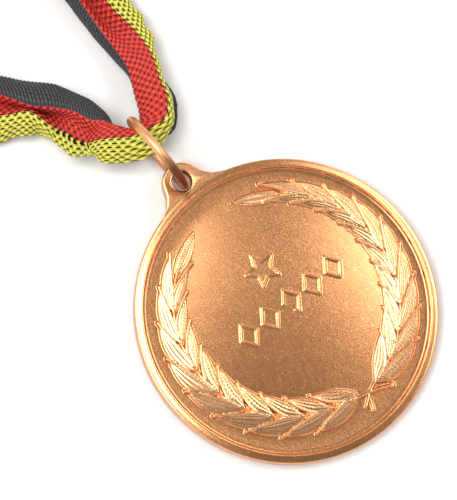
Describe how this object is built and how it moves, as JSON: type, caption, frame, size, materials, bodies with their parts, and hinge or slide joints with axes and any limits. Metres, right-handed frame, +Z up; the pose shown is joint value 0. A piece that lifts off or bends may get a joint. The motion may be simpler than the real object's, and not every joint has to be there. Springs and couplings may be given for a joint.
{
  "type": "award medal",
  "caption": "Round copper-coloured medal with a wreath in relief, a pierced ear, a wire ring and a black, red and yellow neck ribbon.",
  "frame": {"origin": "centre of the medal and its ring, on the surface that they lie on", "axes": "+Y from the medal towards its ear and ring, +Z up from the surface, +X to the medal's right"},
  "size_m": [0.05, 0.1461, 0.0151],
  "materials": {
    "copper_bronze": "satin",
    "copper_wire": "satin",
    "woven_ribbon": "matte"
  },
  "bodies": {
    "medal": {"medal_disc": "copper_bronze"},
    "ring": {"jump_ring": "copper_wire"},
    "ribbon": {"neck_ribbon": "woven_ribbon", "ribbon_roll": "woven_ribbon"}
  },
  "joints": [
    {"name": "ring_swing", "type": "hinge", "parent": "medal", "child": "ring", "pos_m": [0, 0.01939, 0.00427], "axis": [1, 0, 0], "range_deg": [-52, 0]},
    {"name": "ribbon_swing", "type": "hinge", "parent": "ring", "child": "ribbon", "pos_m": [0, 0.0268, 0.0067], "axis": [1, 0, 0], "range_deg": [-45, 120]}
  ]
}
